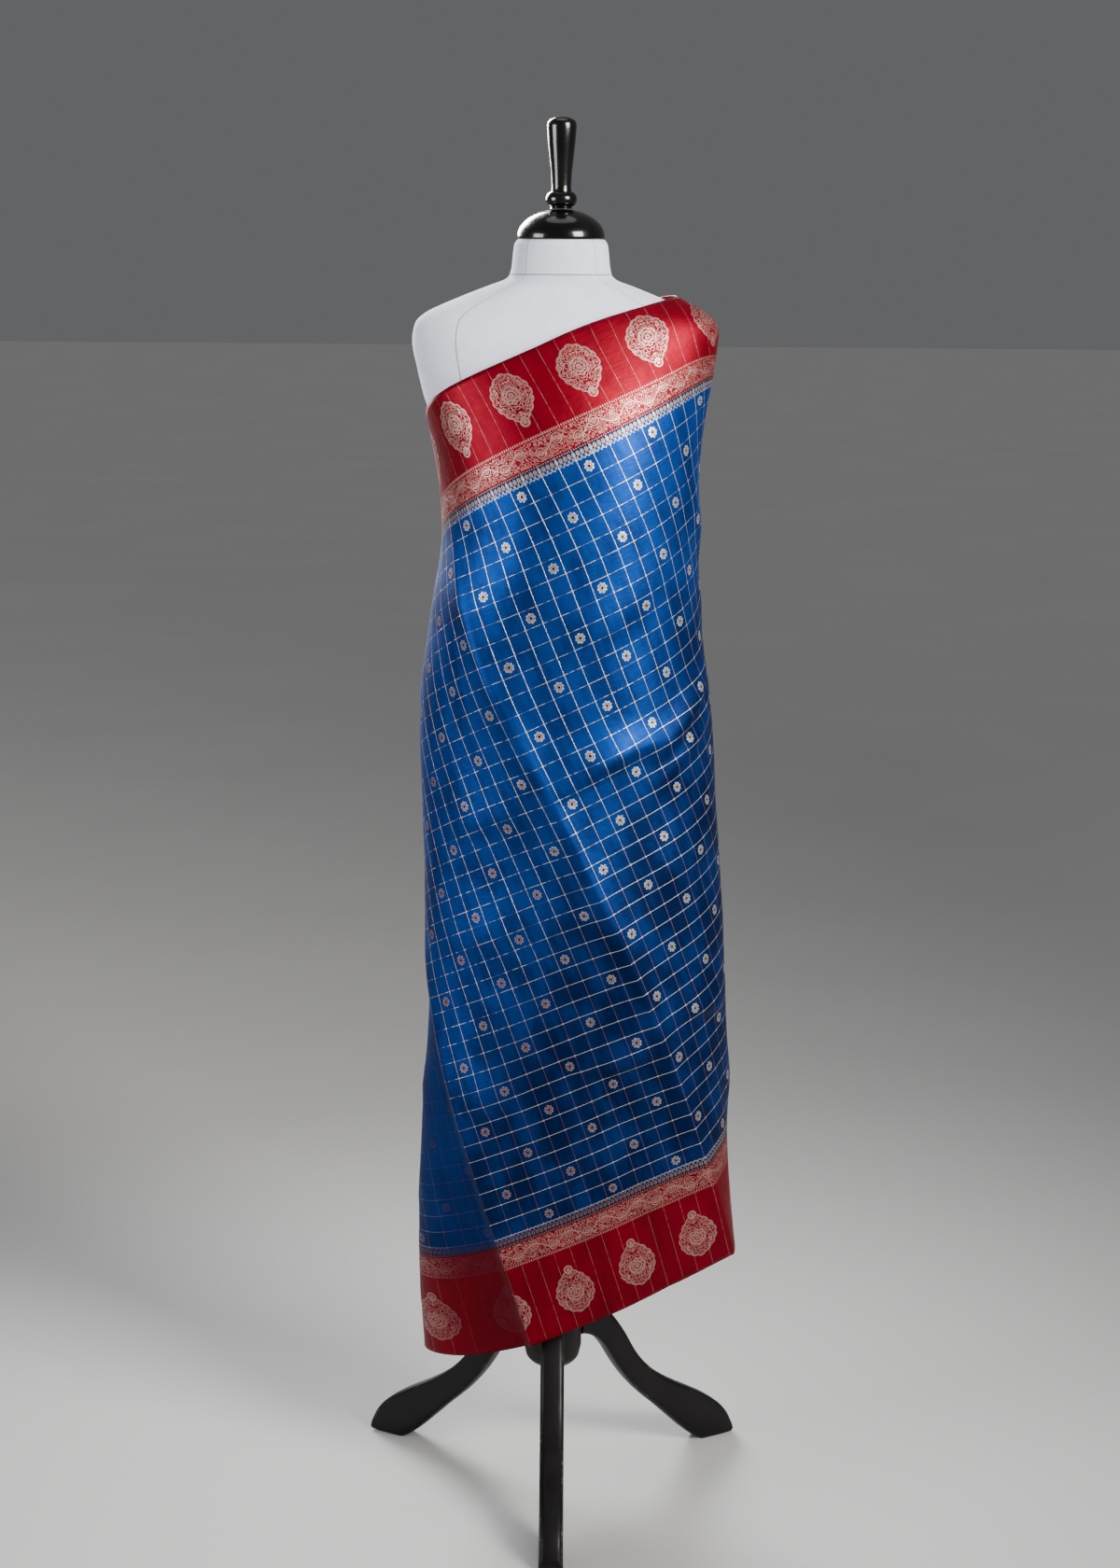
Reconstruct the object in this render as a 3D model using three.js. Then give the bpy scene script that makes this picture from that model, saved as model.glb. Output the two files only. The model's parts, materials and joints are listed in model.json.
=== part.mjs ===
// Silk saree, wrapped once round a limbless dress form and over one shoulder.
// Millimetres, +Z up, the wearer's front towards -Y.
// The cloth is one woven length. Its place is worked out on the unrolled cloth:
// s counts checks along the length and t counts checks across the width, both on
// a check of 22 mm, and t runs from the upper border's edge down to the hem.
import * as THREE from 'three';

// Saree
const CHECK = 22;                 // one woven check, both ways
const T_TOP = -6.7;               // upper edge, in checks from the first weft line
const T_HEM = 45.6;               // lower edge
const WALL = 1.6;                 // cloth and its borders, as a rigid wall
const SEAM_GAP = 0.3;             // between neighbouring stretches of the cloth
const CLOTH_ROWS = 22;            // the same across every stretch, so that their edges match

// Drape: how the unrolled cloth is laid round the body
const C_START = -137;             // arc from the front middle to the origin of s and t
const W_START = 1270;             // height of that origin, measured up the cloth
const LEAN = 23.2;                // degrees that the cloth climbs round the body
const LEAN_BY_S = -0.05;          // change of lean for each check along the length
const LEAN_BY_T = -0.12;          // change of lean for each check across the width
const LEAN_MIDDLE_T = 20;
const RISE_FROM = -16.5;          // before this line the cloth goes round level
const RISE_TO = 16;               // past this line it has reached the shoulder
const RISE_EASE_BACK = 2.5;
const RISE_EASE_SHOULDER = 2.5;
const SLIP = { from: 15, by: 0.08 };          // behind the shoulder it slips down again
const UPRIGHT_BACK = { from: -14, to: -30, share: 0.55 };      // weft lines turn upright behind
const UPRIGHT_FALL = { from: 10, to: 26, share: 0.32 };        // and where the free end falls

// Weft lines where one stretch ends and the next begins, with the drawn-out ends
const S_INNER_END = -26;
const S_BACK_MIDDLE = -22.75;
const S_LEFT_REAR = -19.5;
const S_LEFT_SIDE = -16.5;
const S_LEFT_CREASE = -13.5;
const S_FRONT_RIDGE = -0.5;
const S_SIDE = 12;
const S_FREE_END = 24;

// Sections of the draped cloth, bottom to top: w is the length up the cloth,
// then the height and the reach to the left, right, front and back of the axis
const CLOTH = [
  { w: 100, z: 100, left: 156, right: 218, front: 76, back: 100 },
  { w: 300, z: 300, left: 169, right: 224, front: 92, back: 108 },
  { w: 500, z: 500, left: 168, right: 222, front: 106, back: 116 },
  { w: 700, z: 700, left: 162, right: 212, front: 120, back: 122 },
  { w: 890, z: 890, left: 165, right: 200, front: 131, back: 126 },
  { w: 1050, z: 1050, left: 169, right: 185, front: 139, back: 124 },
  { w: 1160, z: 1160, left: 154, right: 173, front: 144, back: 118 },
  { w: 1250, z: 1250, left: 141, right: 169, front: 146, back: 114 },
  { w: 1340, z: 1340, left: 150, right: 170, front: 141, back: 114 },
  { w: 1400, z: 1400, left: 163, right: 176, front: 129, back: 113 },
  { w: 1485, z: 1477, left: 186, right: 188, front: 100, back: 102 },
  { w: 1520, z: 1509, left: 182, right: 184, front: 83, back: 88 },
  { w: 1560, z: 1535, left: 137, right: 141, front: 64, back: 70 },
  { w: 1600, z: 1555, left: 96, right: 97, front: 60, back: 66 },
];

// Folds of the cloth: weft line, height of the fold outwards, its half width in
// checks, and the stretch of the width over which it grows from nothing
const FOLDS = [
  { s: S_FRONT_RIDGE, height: 12, reach: 2, from: -4, to: 6 },
  { s: -4.5, height: -4, reach: 2.2, from: 0, to: 10 },
  { s: S_LEFT_CREASE, height: 12, reach: 3.2, from: 12, to: 37 },
  { s: 3.2, height: -6, reach: 2, from: 26, to: 44 },
];
const FLUTES = { from: 10, to: 24, waves: 2.5, height: 16, start: 8 };     // of the free end
// The inner end goes under the fall: past these weft lines, and past these arcs
const INNER_INSET = { depth: 12, from: -12.5, to: -15, arcFrom: -225, arcTo: -290 };

// Dress form, bottom to top: half width, and reach to the front and back
const TORSO = [
  { z: 780, half: 140, front: 96, back: 94 },
  { z: 800, half: 146, front: 101, back: 99 },
  { z: 900, half: 149, front: 108, back: 104 },
  { z: 1000, half: 146, front: 106, back: 102 },
  { z: 1100, half: 135, front: 100, back: 94 },
  { z: 1190, half: 126, front: 100, back: 88 },
  { z: 1260, half: 127, front: 112, back: 90 },
  { z: 1320, half: 136, front: 120, back: 94 },
  { z: 1360, half: 145, front: 116, back: 96 },
  { z: 1394, half: 154, front: 108, back: 96 },
  { z: 1412, half: 162, front: 103, back: 95 },
  { z: 1452, half: 172, front: 90, back: 91 },
  { z: 1477, half: 177, front: 81, back: 86 },
  { z: 1494, half: 176, front: 73, back: 80 },
  { z: 1507, half: 171, front: 66, back: 74 },
  { z: 1518, half: 156, front: 60, back: 68 },
  { z: 1531, half: 127, front: 52, back: 60 },
  { z: 1547, half: 87, front: 47, back: 54 },
  { z: 1555, half: 66, front: 48, back: 52 },
  { z: 1565, half: 59.5, front: 50, back: 51 },
  { z: 1585, half: 57, front: 51, back: 51 },
  { z: 1597, half: 55, front: 51, back: 51 },
  { z: 1601.7, half: 51.5, front: 49, back: 49 },
];

// Turned and sawn wood
const FLOOR = 28;                 // the feet stand at this height of the drawing
const CAP_BASE = 1602;
const CAP_RADIUS = 52;
const CAP_HEIGHT = 35.5;
const FINIAL_BASE = CAP_BASE + CAP_HEIGHT;
const BEAD_RADIUS = 18.5;
const BEAD_HEIGHT = 18;
const HANDLE_FOOT_RADIUS = 11.5;
const HANDLE_TOP_RADIUS = 17.5;
const HANDLE_TOP = 1744;
const POST_RADIUS = 16;
const HUB_RADIUS = 37;
const HUB_BOTTOM = 177;
const HUB_TOP = 278;
const LEG_THICKNESS = 30;
const LEG_START = HUB_RADIUS + SEAM_GAP;
const TURNED_STEPS = 24;

// Materials
const royalBlueSilk = new THREE.MeshStandardMaterial({ color: 0x0b4fa0, roughness: 0.45, metalness: 0.05 });
const shoulderSilk = new THREE.MeshStandardMaterial({ color: 0x0d56aa, roughness: 0.42, metalness: 0.05 });
const shadedSilk = new THREE.MeshStandardMaterial({ color: 0x0a438c, roughness: 0.48, metalness: 0.05 });
const linen = new THREE.MeshStandardMaterial({ color: 0xd9dbe2, roughness: 0.9, metalness: 0 });
const glossBlack = new THREE.MeshStandardMaterial({ color: 0x0b0909, roughness: 0.18, metalness: 0 });
const satinBlack = new THREE.MeshStandardMaterial({ color: 0x14100f, roughness: 0.4, metalness: 0 });

const radians = THREE.MathUtils.degToRad;

/** 0 before a, 1 past b, and a soft S between them. a may be above b. */
function ease(x, a, b) {
  const part = THREE.MathUtils.clamp((x - a) / (b - a), 0, 1);
  return part * part * (3 - 2 * part);
}

/** The named column of a table at x, along a smooth curve through its rows. */
function column(rows, key, name, x) {
  let i = 0;
  while (i < rows.length - 2 && x > rows[i + 1][key]) i += 1;
  const row = (k) => rows[THREE.MathUtils.clamp(k, 0, rows.length - 1)];
  const span = rows[i + 1][key] - rows[i][key];
  const slope = (k) => (row(k + 1)[name] - row(k - 1)[name]) / (row(k + 1)[key] - row(k - 1)[key]);
  const part = THREE.MathUtils.clamp((x - rows[i][key]) / span, 0, 1);
  const square = part * part;
  const cube = square * part;
  return (2 * cube - 3 * square + 1) * rows[i][name] + (cube - 2 * square + part) * span * slope(i)
    + (3 * square - 2 * cube) * rows[i + 1][name] + (cube - square) * span * slope(i + 1);
}

/** Point on the tube of sections: c is the arc from the front middle, w the length up the cloth. */
function onTube(c, w) {
  const left = column(CLOTH, 'w', 'left', w);
  const right = column(CLOTH, 'w', 'right', w);
  const front = column(CLOTH, 'w', 'front', w);
  const back = column(CLOTH, 'w', 'back', w);
  const half = (left + right) / 2;
  const steps = 90;
  const point = (k) => {
    const turn = (Math.PI * k) / steps;
    const depth = Math.cos(turn);
    return [half * Math.sin(turn), depth > 0 ? -front * depth : -back * depth];
  };
  let walked = 0;
  let last = point(0);
  let found = null;
  const want = Math.abs(c);
  for (let k = 1; k <= 2 * steps && found === null; k += 1) {
    const next = point(k);
    const step = Math.hypot(next[0] - last[0], next[1] - last[1]);
    if (walked + step >= want) {
      const part = (want - walked) / step;
      found = [last[0] + (next[0] - last[0]) * part, last[1] + (next[1] - last[1]) * part];
    }
    walked += step;
    last = next;
  }
  const z = column(CLOTH, 'w', 'z', w);
  return new THREE.Vector3((right - left) / 2 + Math.sign(c) * found[0], found[1], z);
}

/** The weft line that sets how far the cloth has climbed: it levels out past both ends of the rise. */
function climbing(s) {
  if (s < RISE_FROM) return RISE_FROM - RISE_EASE_BACK * (1 - Math.exp((s - RISE_FROM) / RISE_EASE_BACK));
  const slip = SLIP.by * Math.max(s - SLIP.from, 0) ** 2;
  if (s > RISE_TO) return RISE_TO + RISE_EASE_SHOULDER * (1 - Math.exp((RISE_TO - s) / RISE_EASE_SHOULDER)) - slip;
  return s - slip;
}

/** Where the point s, t of the unrolled cloth lies on the tube: its arc and its height. */
function laid(s, t) {
  const lean = radians(LEAN + LEAN_BY_S * climbing(s) + LEAN_BY_T * (t - LEAN_MIDDLE_T));
  const upright = 1 - UPRIGHT_BACK.share * ease(s, UPRIGHT_BACK.from, UPRIGHT_BACK.to)
    - UPRIGHT_FALL.share * ease(s, UPRIGHT_FALL.from, UPRIGHT_FALL.to);
  const cosine = Math.cos(radians(LEAN));
  return {
    c: C_START + CHECK * (s * cosine + t * Math.sin(lean) * upright),
    w: W_START + CHECK * (climbing(s) * Math.sin(lean) - t * cosine),
  };
}

/** How far the folds push the cloth out at s, t, on the arc c. */
function foldHeight(s, t, c) {
  let out = 0;
  for (const fold of FOLDS) {
    out += fold.height * ease(t, fold.from, fold.to) * Math.exp(-Math.abs(s - fold.s) / fold.reach);
  }
  const turns = (FLUTES.waves * (s - FLUTES.from)) / (FLUTES.to - FLUTES.from);
  const wave = turns > 0 ? (1 - Math.cos(2 * Math.PI * turns)) / 2 : 0;
  out += FLUTES.height * wave * ease(t, FLUTES.start, T_HEM);
  const behind = ease(c, INNER_INSET.arcFrom, INNER_INSET.arcTo);
  return out - INNER_INSET.depth * ease(s, INNER_INSET.from, INNER_INSET.to) * behind;
}

/** The tube's outward direction at an arc and height, from its neighbours on the tube. */
function outward(c, w) {
  const step = 3;
  const along = onTube(c + step, w).sub(onTube(c - step, w));
  const up = onTube(c, w + step).sub(onTube(c, w - step));
  return along.cross(up).normalize();
}

/** The cloth's outer face at s, t. */
function clothPoint(s, t) {
  const place = laid(s, t);
  return onTube(place.c, place.w).addScaledVector(outward(place.c, place.w), foldHeight(s, t, place.c));
}

/** The cloth's own outward direction at s, t, folds and all. */
function clothNormal(s, t) {
  const step = 0.15;
  const along = clothPoint(s + step, t).sub(clothPoint(s - step, t));
  const down = clothPoint(s, t + step).sub(clothPoint(s, t - step));
  return down.cross(along).normalize();
}

/** A mesh from points and triangles. */
function meshOf(name, positions, triangles, material) {
  const geometry = new THREE.BufferGeometry();
  geometry.setAttribute('position', new THREE.Float32BufferAttribute(positions, 3));
  geometry.setIndex(triangles);
  const mesh = new THREE.Mesh(geometry, material);
  mesh.name = name;
  return mesh;
}

/** One stretch of the saree from weft line s0 to s1: a wall with an outer and an inner face. */
function clothStretch(name, s0, s1, columns, material) {
  const rows = CLOTH_ROWS;
  const outer = [];
  const inner = [];
  for (let i = 0; i <= columns; i += 1) {
    for (let j = 0; j <= rows; j += 1) {
      const s = s0 + ((s1 - s0) * i) / columns;
      const t = T_TOP + ((T_HEM - T_TOP) * j) / rows;
      const point = clothPoint(s, t);
      const under = point.clone().addScaledVector(clothNormal(s, t), -WALL);
      outer.push(point.x, point.y, point.z);
      inner.push(under.x, under.y, under.z);
    }
  }
  const offset = (columns + 1) * (rows + 1);
  const at = (i, j) => i * (rows + 1) + j;
  const triangles = [];
  const quad = (a, b, c, d) => triangles.push(a, b, c, a, c, d);
  for (let i = 0; i < columns; i += 1) {
    for (let j = 0; j < rows; j += 1) {
      quad(at(i, j), at(i, j + 1), at(i + 1, j + 1), at(i + 1, j));
      quad(offset + at(i, j), offset + at(i + 1, j), offset + at(i + 1, j + 1), offset + at(i, j + 1));
    }
  }
  for (let i = 0; i < columns; i += 1) {
    quad(at(i, 0), at(i + 1, 0), offset + at(i + 1, 0), offset + at(i, 0));
    quad(at(i + 1, rows), at(i, rows), offset + at(i, rows), offset + at(i + 1, rows));
  }
  for (let j = 0; j < rows; j += 1) {
    quad(at(0, j + 1), at(0, j), offset + at(0, j), offset + at(0, j + 1));
    quad(at(columns, j), at(columns, j + 1), offset + at(columns, j + 1), offset + at(columns, j));
  }
  return meshOf(name, outer.concat(inner), triangles, material);
}

/** The limbless body: rings of two half ovals, a front one and a back one, closed at both ends. */
function torso() {
  const around = 32;
  const heights = TORSO.map((row) => row.z);
  const positions = [];
  for (const z of heights) {
    const half = column(TORSO, 'z', 'half', z);
    const front = column(TORSO, 'z', 'front', z);
    const back = column(TORSO, 'z', 'back', z);
    for (let k = 0; k < around; k += 1) {
      const turn = (Math.PI * 2 * k) / around;
      const depth = -Math.cos(turn);
      positions.push(half * Math.sin(turn), (depth < 0 ? front : back) * depth, z);
    }
  }
  const rings = heights.length;
  const bottom = rings * around;
  const top = bottom + 1;
  positions.push(0, 0, heights[0]);
  positions.push(0, 0, heights[rings - 1]);
  const triangles = [];
  for (let i = 0; i < rings - 1; i += 1) {
    for (let k = 0; k < around; k += 1) {
      const next = (k + 1) % around;
      const a = i * around + k;
      const b = i * around + next;
      triangles.push(a, b, b + around, a, b + around, a + around);
    }
  }
  for (let k = 0; k < around; k += 1) {
    const next = (k + 1) % around;
    triangles.push(bottom, next, k);
    triangles.push(top, (rings - 1) * around + k, (rings - 1) * around + next);
  }
  return meshOf('torso', positions, triangles, linen);
}

/** A turned piece: its profile of radius and height is spun about the axis. */
function turned(name, profile, material) {
  const points = profile.map(([radius, height]) => new THREE.Vector2(radius, height));
  const geometry = new THREE.LatheGeometry(points, TURNED_STEPS);
  geometry.rotateX(Math.PI / 2);
  const mesh = new THREE.Mesh(geometry, material);
  mesh.name = name;
  return mesh;
}

/** Points of an arc in the radius and height plane, from one angle to another in degrees. */
function arc(radius, height, wide, tall, from, to, steps) {
  const points = [];
  for (let i = 0; i <= steps; i += 1) {
    const turn = radians(from + ((to - from) * i) / steps);
    points.push([radius + wide * Math.cos(turn), height + tall * Math.sin(turn)]);
  }
  return points;
}

/** The dome on the neck, with a low rim, flat where the finial sits. */
function neckCap() {
  const rim = 3;
  const flat = BEAD_RADIUS - 4;
  const dome = arc(0, CAP_BASE + rim, CAP_RADIUS, CAP_HEIGHT - rim, 0, 73, 8);
  const profile = [[0, CAP_BASE], [CAP_RADIUS - 1.5, CAP_BASE], ...dome, [flat, FINIAL_BASE - SEAM_GAP], [0, FINIAL_BASE - SEAM_GAP]];
  return turned('neck_cap', profile, glossBlack);
}

/** Bead and handle, turned in one piece. */
function finial() {
  const beadMiddle = FINIAL_BASE + 2 + BEAD_HEIGHT / 2;
  const beadInner = 11;
  const round = BEAD_RADIUS - beadInner;
  const capDrop = 9;
  const profile = [
    [0, FINIAL_BASE],
    [BEAD_RADIUS - 5, FINIAL_BASE],
    ...arc(beadInner, beadMiddle, round, BEAD_HEIGHT / 2, -75, 75, 8),
    [HANDLE_FOOT_RADIUS, beadMiddle + BEAD_HEIGHT / 2 + 4],
    [HANDLE_FOOT_RADIUS + 2.4, beadMiddle + BEAD_HEIGHT / 2 + 32],
    [HANDLE_TOP_RADIUS, HANDLE_TOP - capDrop],
    ...arc(0, HANDLE_TOP - capDrop, HANDLE_TOP_RADIUS - 0.6, capDrop, 25, 90, 5),
  ];
  profile[profile.length - 1][0] = 0;
  return turned('finial', profile, glossBlack);
}

/** The round post inside the skirt, from the hub to the body. */
function post() {
  const foot = HUB_TOP + SEAM_GAP;
  const head = TORSO[0].z - SEAM_GAP;
  const collar = POST_RADIUS + 9;
  const profile = [
    [0, foot], [POST_RADIUS, foot], [POST_RADIUS, head - 40], [collar, head - 26], [collar, head], [0, head],
  ];
  return turned('post', profile, satinBlack);
}

/** The turned boss that the legs butt against. */
function hub() {
  const waist = HUB_RADIUS - 2;
  const lower = arc(0, HUB_BOTTOM + 22, waist, 22, -90, 0, 7);
  lower[0][0] = 0;
  const profile = [...lower, [HUB_RADIUS, HUB_BOTTOM + 30], [HUB_RADIUS, HUB_TOP - 8], [HUB_RADIUS - 8, HUB_TOP], [0, HUB_TOP]];
  return turned('hub', profile, satinBlack);
}

/** A cabriole leg sawn from plank: its outline in reach and height, extruded by its thickness. */
function leg(name, turn) {
  const outline = new THREE.Shape();
  outline.moveTo(LEG_START, 260);
  outline.bezierCurveTo(66, 261, 92, 228, 113, 188);
  outline.bezierCurveTo(130, 156, 152, 134, 205, 105);
  outline.bezierCurveTo(238, 86, 262, 72, 272, 46);
  outline.bezierCurveTo(277, 36, 276, FLOOR, 268, FLOOR);
  outline.lineTo(224, FLOOR);
  outline.bezierCurveTo(205, 36, 176, 70, 147, 96);
  outline.bezierCurveTo(112, 127, 96, 152, 81, 178);
  outline.bezierCurveTo(70, 197, 56, 213, LEG_START, 214);
  outline.closePath();
  const geometry = new THREE.ExtrudeGeometry(outline, { depth: LEG_THICKNESS, bevelEnabled: false, curveSegments: 7 });
  geometry.translate(0, 0, -LEG_THICKNESS / 2);
  geometry.rotateX(Math.PI / 2);
  const mesh = new THREE.Mesh(geometry, satinBlack);
  mesh.name = name;
  mesh.rotation.z = radians(turn);
  return mesh;
}

const half = SEAM_GAP / 2 / CHECK;
const saree = new THREE.Group();
saree.add(clothStretch('inner_wrap', S_INNER_END, S_BACK_MIDDLE - half, 4, shadedSilk));
saree.add(clothStretch('back_wrap', S_BACK_MIDDLE + half, S_LEFT_REAR - half, 4, shadedSilk));
saree.add(clothStretch('left_wrap_rear', S_LEFT_REAR + half, S_LEFT_SIDE - half, 4, shadedSilk));
saree.add(clothStretch('left_wrap_front', S_LEFT_SIDE + half, S_LEFT_CREASE - half, 4, shadedSilk));
saree.add(clothStretch('front_drape_left', S_LEFT_CREASE + half, S_FRONT_RIDGE - half, 13, royalBlueSilk));
saree.add(clothStretch('front_drape_right', S_FRONT_RIDGE + half, S_SIDE - half, 13, royalBlueSilk));
saree.add(clothStretch('shoulder_fall', S_SIDE + half, S_FREE_END, 22, shoulderSilk));

const stand = new THREE.Group();
stand.add(torso(), neckCap(), finial(), post(), hub());
stand.add(leg('leg_front', -90), leg('leg_rear_right', 30), leg('leg_rear_left', 150));

const whole = new THREE.Group();
whole.add(saree, stand);

// The origin is the middle of the bounding box, on the floor
const bounds = new THREE.Box3().setFromObject(whole, true);
whole.position.set(-(bounds.min.x + bounds.max.x) / 2, -(bounds.min.y + bounds.max.y) / 2, -bounds.min.z);

export default whole;
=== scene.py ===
"""Silk saree on a limbless dress form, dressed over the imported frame.

Metres, +Z up, the wearer's front towards -Y. Places on the cloth are given on the
unrolled length: s counts woven checks along it and t counts them across it, both on
a check of 22 mm, and t runs from the upper border's edge down to the hem.
"""
import json
import logging
import math
from dataclasses import dataclass, field
from enum import Enum
from typing import Union

import bmesh
import bpy
import numpy as np
from mathutils import Matrix, Vector

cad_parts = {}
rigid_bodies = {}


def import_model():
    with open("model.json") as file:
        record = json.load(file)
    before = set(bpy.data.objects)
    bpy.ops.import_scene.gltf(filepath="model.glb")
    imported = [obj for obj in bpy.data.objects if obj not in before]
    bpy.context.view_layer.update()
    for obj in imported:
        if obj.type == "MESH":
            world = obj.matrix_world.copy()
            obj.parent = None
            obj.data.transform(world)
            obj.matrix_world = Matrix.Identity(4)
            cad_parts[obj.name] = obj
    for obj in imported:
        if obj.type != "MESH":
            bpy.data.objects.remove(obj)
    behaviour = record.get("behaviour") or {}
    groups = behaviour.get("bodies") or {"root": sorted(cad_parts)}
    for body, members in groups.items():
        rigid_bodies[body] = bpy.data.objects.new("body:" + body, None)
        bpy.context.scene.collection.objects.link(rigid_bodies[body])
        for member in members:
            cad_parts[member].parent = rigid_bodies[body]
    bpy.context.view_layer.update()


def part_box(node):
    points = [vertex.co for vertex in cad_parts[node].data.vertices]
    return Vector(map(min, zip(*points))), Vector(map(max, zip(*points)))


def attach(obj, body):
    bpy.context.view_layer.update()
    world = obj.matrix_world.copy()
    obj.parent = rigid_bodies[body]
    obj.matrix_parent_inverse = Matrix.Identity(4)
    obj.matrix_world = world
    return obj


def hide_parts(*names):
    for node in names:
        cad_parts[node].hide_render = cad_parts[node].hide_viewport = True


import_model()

log = logging.getLogger("saree")

MM = 0.001
CHECK = 22.0
DRAWN_TOP = 1744.0
DRAWN_FLOOR = 28.0


class LegPlace(Enum):
    """Where a leg leaves the hub, in degrees round the post from +X."""

    FRONT = -90.0
    REAR_RIGHT = 30.0
    REAR_LEFT = 150.0


# The drape, in millimetres: the same formula as the solids


def ease(x: np.ndarray, a: float, b: float) -> np.ndarray:
    """A soft S from 0 at a to 1 at b: 3p^2 - 2p^3 of the part p of the way.

    Args:
        x: places along the way.
        a: where the rise starts. It may be above b.
        b: where the rise ends.

    Returns:
        The height of the S at each place.
    """
    part = np.clip((x - a) / (b - a), 0.0, 1.0)
    return part * part * (3.0 - 2.0 * part)


def smooth_column(rows: np.ndarray, column: int, x: np.ndarray) -> np.ndarray:
    """A table's column at x: cubic Hermite pieces with slopes from the neighbouring rows.

    Args:
        rows: the table, its first column rising.
        column: the column to read.
        x: where to read it, in the first column's unit.

    Returns:
        The column's smooth value at each x.
    """
    keys, values = rows[:, 0], rows[:, column]
    after = np.minimum(np.arange(len(keys)) + 1, len(keys) - 1)
    before = np.maximum(np.arange(len(keys)) - 1, 0)
    slopes = (values[after] - values[before]) / (keys[after] - keys[before])
    i = np.clip(np.searchsorted(keys[1:-1], x), 0, len(keys) - 2)
    span = keys[i + 1] - keys[i]
    p = np.clip((x - keys[i]) / span, 0.0, 1.0)
    square, cube = p * p, p * p * p
    start = (2 * cube - 3 * square + 1) * values[i] + (cube - 2 * square + p) * span * slopes[i]
    return start + (3 * square - 2 * cube) * values[i + 1] + (cube - square) * span * slopes[i + 1]


@dataclass(frozen=True)
class Fold:
    """A long fold down the cloth, along s + lean * t, that grows between two rows of checks."""

    s: float
    height: float
    reach: float
    start: float
    end: float
    lean: float = 0.0

    def push(self, s: np.ndarray, t: np.ndarray) -> np.ndarray:
        """The push outwards: height times the growth, fading with the distance d as exp(-d / reach)."""
        away = np.abs(s - self.s - self.lean * t)
        return self.height * ease(t, self.start, self.end) * np.exp(-away / self.reach)


@dataclass(frozen=True)
class Crease:
    """A pulled crease between two places on the cloth, gentle above and steep below."""

    s0: float
    t0: float
    s1: float
    t1: float
    height: float
    above: float
    below: float
    bow: float

    def push(self, s: np.ndarray, t: np.ndarray) -> np.ndarray:
        """The push outwards, in millimetres.

        With u the part of the way from one end to the other and v the distance to the
        bowed line, it is height * sin(pi u) * exp(-(v / width)^2), where the width is
        `above` on the upper side and `below` on the lower one.

        Args:
            s: places along the length.
            t: places across the width.

        Returns:
            The push at each place.
        """
        ds, dt = self.s1 - self.s0, self.t1 - self.t0
        length = math.hypot(ds, dt)
        u = ((s - self.s0) * ds + (t - self.t0) * dt) / length**2
        v = ((t - self.t0) * ds - (s - self.s0) * dt) / length * math.copysign(1.0, ds)
        inside = np.clip(u, 0.0, 1.0)
        v = v - self.bow * 4.0 * inside * (1.0 - inside)
        width = np.where(v < 0.0, self.above, self.below)
        return self.height * np.sin(np.pi * inside) * np.exp(-((v / width) ** 2))


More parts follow.
